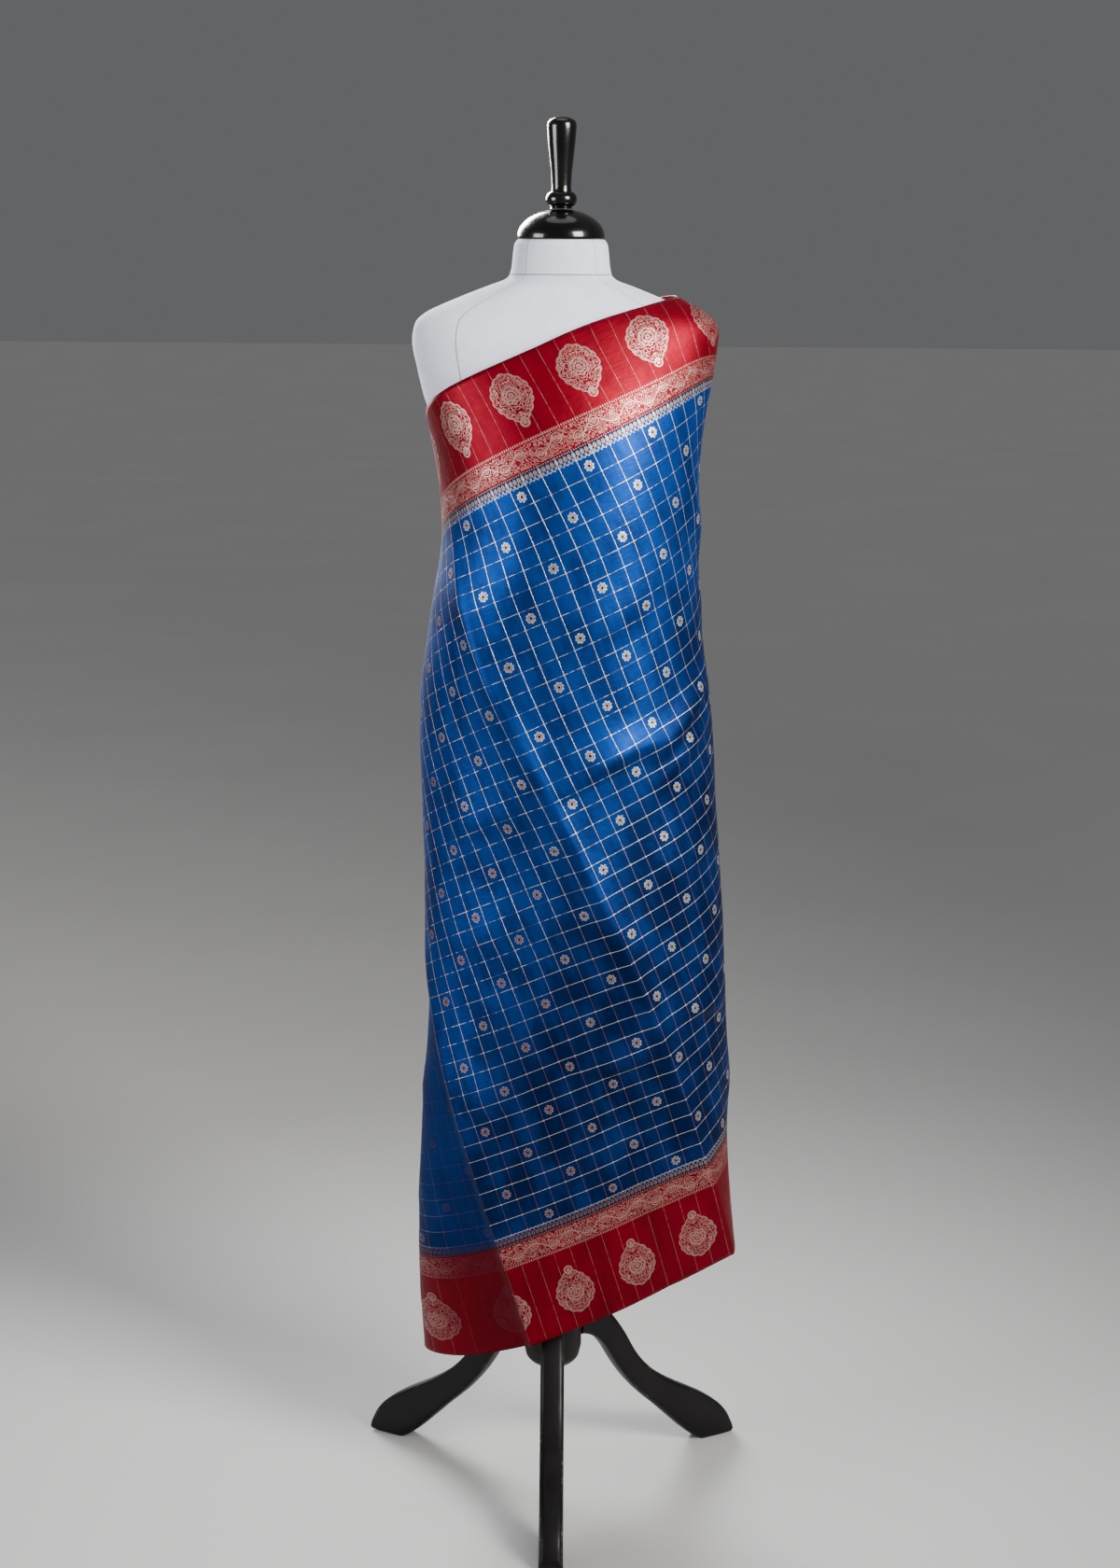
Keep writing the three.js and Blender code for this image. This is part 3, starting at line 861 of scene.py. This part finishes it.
    def band(self) -> Field:
        """The scroll band, 25 mm wide, between its dotted edges.

        A stem waves along as 6 sin(2 pi u / 48) mm about the middle, a curl of two rings
        fills each half wave, and filigree fills the ground between them.

        Returns:
            The mask.
        """
        u = self.s * CHECK
        v = self.past - 16.5
        stem = (v - (u * (2 * math.pi / 48.0)).sin() * 6.0).line(0.8)
        flip = (u.nearest(48.0, 12.0).abs() - 12.0).math("SIGN")
        r = distance(u.nearest(24.0, 12.0), v - flip * -4.0)
        curl = (r - 5.6).line(0.7).high((r - 2.8).line(0.7)).high(r.rises(1.4, 0.9))
        ground = self.filigree(u, v) * r.rises(6.6, 7.4) * 0.85
        scroll = stem.high(curl).high(ground) * self.past.between(3.6, 28.6, 0.3)
        ticks = u.nearest(3.0).line(0.7) * self.past.between(29.8, 32.6, 0.3)
        teeth = distance(u.nearest(3.0), self.past - 1.2).rises(1.0, 0.5)
        return scroll.high(ticks).high(teeth)

    def comb(self) -> tuple[Field, Field]:
        """Returns:
            The mask of the leaves and that of the dark ground between them.
        """
        x, past = self.s * CHECK, self.past
        big = distance(x.nearest(5.5) * 1.15, (past + 4.2) * 0.75).rises(2.7, 2.1)
        small = distance(x.nearest(5.5, 2.75), (past + 8.8) * 0.8).rises(1.6, 1.1)
        point = distance(x.nearest(5.5) * 1.4, (past + 11.4) * 0.7).rises(1.2, 0.7)
        veins = x.nearest(5.5).line(0.35).less_from(1.0)
        leaves = (big * veins).high(small).high(point)
        return leaves * 0.42, past.between(-8.0, 0.0, 1.2) * 0.85


@dataclass(frozen=True)
class LinenFinish:
    """Undyed linen stretched over a padded body, with its seams."""

    pale: Colour = (0.64, 0.66, 0.76)
    shade: Colour = (0.54, 0.56, 0.65)
    seam: Colour = (0.28, 0.29, 0.34)
    seam_arc: float = 92.0
    bust_height: float = 1260.0
    neck_height: float = 1561.0
    thread_pitch: float = 1.3

    def make(self) -> bpy.types.Material:
        """Threads both ways as sine waves 1.3 mm apart, slubs, mottling and sewn seams.

        Returns:
            The material. Its map holds the arc from the front middle and the height, in
            millimetres.
        """
        finish = Finish("form_linen")
        u, v = finish.uv()
        mottle = finish.noise(finish.vector(u, v), 0.03, 3.0)
        slub = finish.noise(finish.vector(u * 0.1, v * 0.9), 1.0, 3.0)
        turn = 2 * math.pi / self.thread_pitch
        threads = (u * turn).sin() * 0.25 + (v * turn).sin() * 0.25 + 0.5
        princess = (u.abs() - self.seam_arc - (v - self.bust_height).abs() * 0.02).line(0.8)
        neck = (v - self.neck_height).line(0.8)
        seam = princess.high(neck)
        pucker = (v * 0.55).sin() * (u.abs() - self.seam_arc).abs().rises(9.0, 0.0)
        tone = (mottle * 0.5 + slub * 0.5).rises(0.3, 0.7)
        colour = finish.blend(tone, self.shade, self.pale)
        finish.drive("Base Color", finish.blend(seam, colour, self.seam))
        finish.drive("Roughness", mottle * 0.15 + 0.75)
        finish.set(Sheen_Weight=0.25, Sheen_Roughness=0.5)
        finish.bump(threads * 0.35 + slub * 0.35 - seam * 0.8 + pucker * 0.3, 0.0006)
        return finish.material


@dataclass(frozen=True)
class WoodFinish:
    """Black painted wood, with paint worn through on its edges where it has any."""

    name: str
    black: Colour
    rubbed: Colour
    bare: Colour
    roughness: float
    coat: float
    wear: float

    def make(self) -> bpy.types.Material:
        """Dark paint with fine wipe marks, dust and worn edges.

        Returns:
            The material.
        """
        finish = Finish(self.name)
        place = finish.place()
        cloud = finish.noise(place, 18.0, 4.0)
        grit = finish.noise(place, 240.0, 3.0)
        colour = finish.blend(cloud.rises(0.35, 0.75), self.black, self.rubbed)
        chips = (finish.mark("edge") * 0.55 + grit * 0.35 + cloud * 0.35).rises(0.92, 1.0) * self.wear
        finish.drive("Base Color", finish.blend(chips, colour, self.bare))
        finish.drive("Roughness", cloud * 0.12 + chips * 0.3 + grit * 0.05 + self.roughness)
        finish.set(Coat_Weight=self.coat, Coat_Roughness=0.06, Specular_IOR_Level=0.2)
        finish.bump(grit * 0.4 + cloud * 0.6 - chips * 0.5, 0.0002)
        return finish.material


# Sub-assemblies

Profile = list[tuple[float, float]]


@dataclass
class Saree:
    """The whole visible length of cloth, one unbroken sheet."""

    drape: Drape = field(default_factory=Drape)
    plan: SilkPlan = field(default_factory=SilkPlan)
    steps_per_check: int = 4
    thickness: float = 0.0009

    def build(self, axis: Vector) -> bpy.types.Object:
        """Lays the sheet as a grid in s and t, and dresses it.

        Args:
            axis: the post's axis, in millimetres.

        Returns:
            The saree.
        """
        drape = self.drape
        columns = round((drape.s_free_end - drape.s_inner_end) * self.steps_per_check)
        rows = round((drape.t_hem - drape.t_top) * self.steps_per_check)
        s, t = np.meshgrid(
            np.linspace(drape.s_inner_end, drape.s_free_end, columns + 1),
            np.linspace(drape.t_top, drape.t_hem, rows + 1),
            indexing="ij",
        )
        points = drape.points(s, t) + np.array(axis)
        sheet = Surface("saree", points, uv=np.stack([s, t], axis=-1)).make(smooth_angle=80.0)
        wall = sheet.modifiers.new("cloth", "SOLIDIFY")
        wall.thickness = self.thickness
        wall.offset = -1.0
        sheet.data.materials.append(SilkFinish(self.plan).make())
        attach(sheet, "root")
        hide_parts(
            "inner_wrap", "back_wrap", "left_wrap_rear", "left_wrap_front",
            "front_drape_left", "front_drape_right", "shoulder_fall",
        )
        return sheet


@dataclass
class DressForm:
    """The padded body without limbs."""

    finish: LinenFinish = field(default_factory=LinenFinish)
    around: int = 96
    rings_per_row: int = 6
    mean_radius: float = 125.0

    def sections(self) -> np.ndarray:
        """The body's sections: height, half width, reach front and back, in millimetres."""
        return np.array([
            (780, 140, 96, 94),
            (800, 146, 101, 99),
            (900, 149, 108, 104),
            (1000, 146, 106, 102),
            (1100, 135, 100, 94),
            (1190, 126, 100, 88),
            (1260, 127, 112, 90),
            (1320, 136, 120, 94),
            (1360, 145, 116, 96),
            (1394, 154, 108, 96),
            (1412, 162, 103, 95),
            (1452, 172, 90, 91),
            (1477, 177, 81, 86),
            (1494, 176, 73, 80),
            (1507, 171, 66, 74),
            (1518, 156, 60, 68),
            (1531, 127, 52, 60),
            (1547, 87, 47, 54),
            (1555, 66, 48, 52),
            (1565, 59.5, 50, 51),
            (1585, 57, 51, 51),
            (1597, 55, 51, 51),
            (1601.7, 51.5, 49, 49),
        ], dtype=float)

    def build(self, axis: Vector) -> bpy.types.Object:
        """Lofts the body: x = half sin(turn), y = -reach cos(turn) round each section.

        Args:
            axis: the post's axis, in millimetres.

        Returns:
            The body.
        """
        rows = self.sections()
        last = len(rows) - 1
        rings = np.linspace(0, last, last * self.rings_per_row + 1)
        z = np.interp(rings, np.arange(len(rows)), rows[:, 0])
        half, front, back = (smooth_column(rows, k, z)[:, None] for k in (1, 2, 3))
        turn = np.linspace(-np.pi, np.pi, self.around + 1)
        x = half * np.sin(turn)
        y = -np.where(np.cos(turn) > 0, front, back) * np.cos(turn)
        points = np.stack([x, y, np.broadcast_to(z[:, None], x.shape)], axis=-1)
        ends = points[[0, -1]] * np.array([0.0, 0.0, 1.0])
        points = np.concatenate([ends[:1], points, ends[1:]])
        girth = turn * self.mean_radius
        height = np.concatenate([z[:1], z, z[-1:]])
        uv = np.stack(np.broadcast_arrays(girth[None, :], height[:, None]), axis=-1)
        body = Surface("form_body", points + np.array(axis), uv=uv).make(weld=1e-6)
        body.data.materials.append(self.finish.make())
        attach(body, "root")
        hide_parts("torso")
        log.info("form_body: %d faces", len(body.data.polygons))
        return body


@dataclass
class Turning:
    """A piece turned on a lathe: its profile spun about the post's axis."""

    name: str
    node: str
    slot: str
    profile: Profile
    steps: int = 72

    def build(self, axis: Vector, material: bpy.types.Material) -> bpy.types.Object:
        """Spins the profile: x = radius cos(turn), y = radius sin(turn).

        The edge mark is 1 on the profile's corners, where paint wears.

        Args:
            axis: the post's axis, in millimetres.
            material: its finish.

        Returns:
            The turned piece.
        """
        path = np.array(self.profile, dtype=float)
        bend = np.zeros(len(path))
        ways = np.diff(path, axis=0)
        heading = np.unwrap(np.arctan2(ways[:, 1], ways[:, 0]))
        bend[1:-1] = np.clip(np.abs(np.diff(heading)) * 1.4, 0.0, 1.0)
        turn = np.linspace(0.0, 2 * np.pi, self.steps, endpoint=False)
        radius, height = path[:, 0][:, None], path[:, 1][:, None]
        grid = (len(path), self.steps)
        x, y = radius * np.cos(turn), radius * np.sin(turn)
        points = np.stack([x, y, np.broadcast_to(height, grid)], axis=-1)
        marks = {"edge": np.broadcast_to(bend[:, None], grid)}
        surface = Surface(self.name, points + np.array(axis), closed_across=True, marks=marks)
        piece = surface.make(weld=1e-6, smooth_angle=42.0)
        piece.data.materials.append(material)
        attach(piece, "root")
        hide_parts(self.node)
        log.info("%s: %d faces", self.name, len(piece.data.polygons))
        return piece


def arc(
    radius: float, height: float, wide: float, tall: float, start: float, end: float, steps: int
) -> Profile:
    """Points of an elliptical arc in the radius and height plane.

    Args:
        radius: its middle's radius.
        height: its middle's height.
        wide: half width.
        tall: half height.
        start: first angle, in degrees.
        end: last angle.
        steps: how many steps between.

    Returns:
        The points.
    """
    turn = np.radians(np.linspace(start, end, steps + 1))
    return list(zip((radius + wide * np.cos(turn)).tolist(), (height + tall * np.sin(turn)).tolist()))


def bezier(controls: Profile, steps: int) -> np.ndarray:
    """Points of a chain of cubic curves that share their end points.

    Args:
        controls: 3 n + 1 control points.
        steps: steps of each curve.

    Returns:
        Points, n * steps + 1 rows.
    """
    p = np.array(controls, dtype=float)
    u = np.linspace(0.0, 1.0, steps + 1)[:, None]
    v = 1 - u
    shares = (v**3, 3 * u * v**2, 3 * u * u * v, u**3)
    parts = [sum(share * p[i + k] for k, share in enumerate(shares)) for i in range(0, len(p) - 1, 3)]
    return np.concatenate([parts[0][:1]] + [part[1:] for part in parts])


@dataclass
class CabrioleLeg:
    """One sawn leg: a rounded plank that follows an S from the hub to its foot."""

    place: LegPlace
    thickness: float = 30.0
    around: int = 40
    steps: int = 14

    def build(self, axis: Vector, material: bpy.types.Material) -> bpy.types.Object:
        """Carries a rounded oblong along the leg.

        Each ring runs between a point of the upper outline and its partner on the lower
        one. Round it, with angle a, the place is (sign cos a |cos a|^k, sign sin a |sin a|^k)
        times the half sizes, with k = 0.4, which is an oblong with rounded corners.

        Args:
            axis: the post's axis, in millimetres.
            material: its finish.

        Returns:
            The leg.
        """
        low = DRAWN_FLOOR
        upper = bezier([
            (37.3, 260), (66, 261), (92, 228), (113, 188), (130, 156), (152, 134), (205, 105),
            (238, 86), (262, 72), (272, 46), (274, 42), (275, 38), (274, low + 7),
        ], self.steps)
        lower = bezier([
            (37.3, 214), (56, 213), (70, 197), (81, 178), (96, 152), (112, 127), (147, 96),
            (176, 70), (205, 36), (224, low), (240, low), (262, low), (270, low + 2),
        ], self.steps)
        a = np.linspace(0.0, 2 * np.pi, self.around, endpoint=False)
        k = 0.4
        up = np.sign(np.cos(a)) * np.abs(np.cos(a)) ** k
        side = np.sign(np.sin(a)) * np.abs(np.sin(a)) ** k * self.thickness / 2
        middle, half = (upper + lower) / 2, (upper - lower) / 2
        plane = middle[:, None, :] + half[:, None, :] * up[None, :, None]
        across = np.broadcast_to(side[None, :, None], plane.shape[:2] + (1,))
        ring = np.concatenate([plane, across], axis=-1)
        tips = (ring[:1], ring[-1:])
        ends = [np.broadcast_to(tip.mean(axis=1, keepdims=True), tip.shape) for tip in tips]
        ring = np.concatenate([ends[0], ring, ends[1]])
        angle = math.radians(self.place.value)
        out, z, aside = ring[..., 0], ring[..., 1], ring[..., 2]
        x = out * math.cos(angle) - aside * math.sin(angle)
        y = out * math.sin(angle) + aside * math.cos(angle)
        corner = np.clip((np.abs(np.cos(a)) * np.abs(np.sin(a)) * 2.0 - 0.55) * 2.2, 0.0, 1.0)
        marks = {"edge": np.broadcast_to(corner, ring.shape[:2])}
        points = np.stack([x, y, z], axis=-1) + np.array(axis)
        place = self.place.name.lower()
        leg = Surface(f"cabriole_{place}", points, closed_across=True, marks=marks).make(weld=1e-6)
        leg.data.materials.append(material)
        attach(leg, "root")
        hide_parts(f"leg_{place}")
        log.info("%s: %d faces", leg.name, len(leg.data.polygons))
        return leg


@dataclass
class Stand:
    """Everything of wood: the cap and handle above, the post, hub and legs below."""

    gloss: WoodFinish = WoodFinish(
        name="gloss_black_wood",
        black=(0.0015, 0.0012, 0.0012),
        rubbed=(0.004, 0.003, 0.003),
        bare=(0.10, 0.07, 0.05),
        roughness=0.16,
        coat=0.6,
        wear=0.0,
    )
    satin: WoodFinish = WoodFinish(
        name="satin_black_wood",
        black=(0.0018, 0.0012, 0.0012),
        rubbed=(0.004, 0.0028, 0.0028),
        bare=(0.26, 0.20, 0.17),
        roughness=0.40,
        coat=0.05,
        wear=1.0,
    )
    cap_base: float = 1602.0
    cap_radius: float = 52.0
    finial_base: float = 1637.5
    bead_radius: float = 18.5
    bead_height: float = 18.0
    handle_foot: float = 11.5
    handle_top: float = 17.5
    handle_end: float = DRAWN_TOP
    hub_bottom: float = 177.0
    hub_top: float = 278.0
    hub_radius: float = 37.0
    post_radius: float = 16.0
    post_head: float = 779.7

    def cap_profile(self) -> Profile:
        """The dome on the neck, with a small rounded rim."""
        base, radius = self.cap_base, self.cap_radius
        rim = arc(radius - 2.0, base + 2.0, 2.0, 2.0, -90, 0, 4)
        dome = arc(0.0, base + 3.0, radius, self.finial_base - base - 3.0, 1, 74, 20)
        return [(0.0, base)] + rim + dome + [(0.0, self.finial_base - 0.3)]

    def finial_profile(self) -> Profile:
        """The bead, the waist and the handle, widest near its rounded top."""
        middle = self.finial_base + 2 + self.bead_height / 2
        foot = middle + self.bead_height / 2
        top = self.handle_end
        thin, thick = self.handle_foot, self.handle_top
        bead = arc(11.0, middle, self.bead_radius - 11.0, self.bead_height / 2, -80, 80, 16)
        shaft = [
            (thin, foot + 3), (thin, foot + 8), (thin + 1.0, foot + 24),
            (thin + 2.6, foot + 38), (thick - 1.4, top - 30), (thick, top - 12),
        ]
        crown = arc(0.0, top - 9.0, thick, 9.0, 12, 90, 10)
        return [(0.0, self.finial_base), (self.bead_radius - 5, self.finial_base)] + bead + shaft + crown

    def post_profile(self) -> Profile:
        """The round post, with the collar that carries the body."""
        foot, head, radius = self.hub_top + 0.3, self.post_head, self.post_radius
        shaft = [(0, foot), (radius - 1, foot), (radius, foot + 1), (radius, head - 40)]
        cove = [(radius + 4, head - 33), (radius + 8.4, head - 26), (radius + 9, head - 24)]
        return shaft + cove + [(radius + 9, head - 1), (radius + 8, head), (0, head)]

    def hub_profile(self) -> Profile:
        """The boss that the legs butt against, round below and chamfered above."""
        low, top, radius = self.hub_bottom, self.hub_top, self.hub_radius
        bowl = arc(0.0, low + 22, radius - 2, 22, -90, 0, 14)
        side = [(radius - 0.6, low + 27), (radius, low + 30), (radius, top - 9)]
        return bowl + side + [(radius - 1, top - 8), (radius - 7, top - 1), (radius - 8.4, top), (0, top)]

    def build(self, axis: Vector) -> list[bpy.types.Object]:
        """Builds and dresses every wooden piece.

        Args:
            axis: the post's axis, in millimetres.

        Returns:
            The pieces.
        """
        gloss, satin = self.gloss.make(), self.satin.make()
        turnings = [
            (Turning("dome_cap", "neck_cap", "gloss_black_wood", self.cap_profile()), gloss),
            (Turning("turned_handle", "finial", "gloss_black_wood", self.finial_profile()), gloss),
            (Turning("turned_post", "post", "satin_black_wood", self.post_profile()), satin),
            (Turning("turned_hub", "hub", "satin_black_wood", self.hub_profile()), satin),
        ]
        pieces = [turning.build(axis, material) for turning, material in turnings]
        return pieces + [CabrioleLeg(place).build(axis, satin) for place in LegPlace]


@dataclass(frozen=True)
class Softbox:
    """A square soft light."""

    name: str
    place: tuple[float, float, float]
    side: float
    watts: float
    tint: Colour


@dataclass
class Studio:
    """Floor, soft lights, and the camera at its distance in front of the form. Metres."""

    camera_distance: float = 3.275
    camera_height: float = 1.596
    pitch: float = 11.3
    roll: float = 0.45
    lens: float = 62.0
    shift: float = 0.002
    spread: float = 60.0
    aim: float = 1.35
    softboxes: tuple[Softbox, ...] = (
        Softbox("key", (2.3, -2.1, 2.5), side=1.5, watts=48.0, tint=(1.0, 0.98, 0.95)),
        Softbox("fill", (-2.8, -1.4, 1.6), side=1.6, watts=16.0, tint=(0.94, 0.97, 1.0)),
        Softbox("back", (-1.2, 2.6, 2.4), side=1.6, watts=50.0, tint=(1.0, 1.0, 1.0)),
    )
    wash: float = 0.5
    world_strength: float = 0.16
    floor_reach: float = 40.0

    def floor(self) -> None:
        """A plain pale floor."""
        mesh = bpy.data.meshes.new("studio_floor")
        far = self.floor_reach
        corners = [(-far, -far, 0), (far, -far, 0), (far, far, 0), (-far, far, 0)]
        mesh.from_pydata(corners, [], [(0, 1, 2, 3)])
        floor = bpy.data.objects.new("studio_floor", mesh)
        bpy.context.scene.collection.objects.link(floor)
        finish = Finish("pale_floor")
        cloud = finish.noise(finish.place(), 1.5, 3.0)
        finish.drive("Base Color", finish.blend(cloud, (0.50, 0.495, 0.49), (0.56, 0.555, 0.55)))
        finish.set(Roughness=0.7)
        mesh.materials.append(finish.material)

    def camera(self, axis: Vector) -> None:
        """Sets the camera level with the neck, tipped down at the hem.

        Args:
            axis: the post's axis, in millimetres.
        """
        data = bpy.data.cameras.new("photo_camera")
        data.lens, data.sensor_width, data.shift_x = self.lens, 36.0, self.shift
        data.clip_end = 100.0
        camera = bpy.data.objects.new("photo_camera", data)
        stand = Vector((0.0, axis.y * MM - self.camera_distance, axis.z * MM + self.camera_height))
        tip = Matrix.Rotation(math.radians(90 - self.pitch), 4, "X")
        roll = Matrix.Rotation(math.radians(self.roll), 4, "Z")
        camera.matrix_world = Matrix.Translation(stand) @ tip @ roll
        bpy.context.scene.collection.objects.link(camera)
        bpy.context.scene.camera = camera

    def light(self, softbox: Softbox) -> None:
        """Adds a square soft light that faces the middle of the form.

        Args:
            softbox: the light to add.
        """
        data = bpy.data.lights.new(softbox.name, "AREA")
        data.size, data.energy, data.color = softbox.side, softbox.watts, softbox.tint
        data.spread = math.radians(self.spread)
        lamp = bpy.data.objects.new(softbox.name, data)
        lamp.location = softbox.place
        aim = Vector((0, 0, self.aim)) - Vector(softbox.place)
        lamp.rotation_euler = aim.to_track_quat("-Z", "Y").to_euler()
        bpy.context.scene.collection.objects.link(lamp)

    def build(self, axis: Vector) -> None:
        """Builds the floor, the lights, the pale world and the camera.

        Args:
            axis: the post's axis, in millimetres.
        """
        self.camera(axis)
        self.floor()
        for softbox in self.softboxes:
            self.light(softbox)
        wash = bpy.data.lights.new("floor_wash", "SUN")
        wash.energy, wash.angle = self.wash, math.radians(40.0)
        lamp = bpy.data.objects.new("floor_wash", wash)
        lamp.rotation_euler = (math.radians(-12.0), 0.0, 0.0)
        bpy.context.scene.collection.objects.link(lamp)
        world = bpy.data.worlds.new("pale_world")
        world.use_nodes = True
        sky = world.node_tree.nodes["Background"]
        sky.inputs["Color"].default_value = (0.80, 0.81, 0.83, 1.0)
        sky.inputs["Strength"].default_value = self.world_strength
        bpy.context.scene.world = world


def main() -> None:
    """Builds the studio, the form, the stand and the saree."""
    logging.basicConfig(level=logging.INFO, format="%(name)s: %(message)s")
    axis = post_axis()
    Studio().build(axis)
    DressForm().build(axis)
    Stand().build(axis)
    Saree().build(axis)
    bpy.context.view_layer.update()


if __name__ == "__main__":
    main()
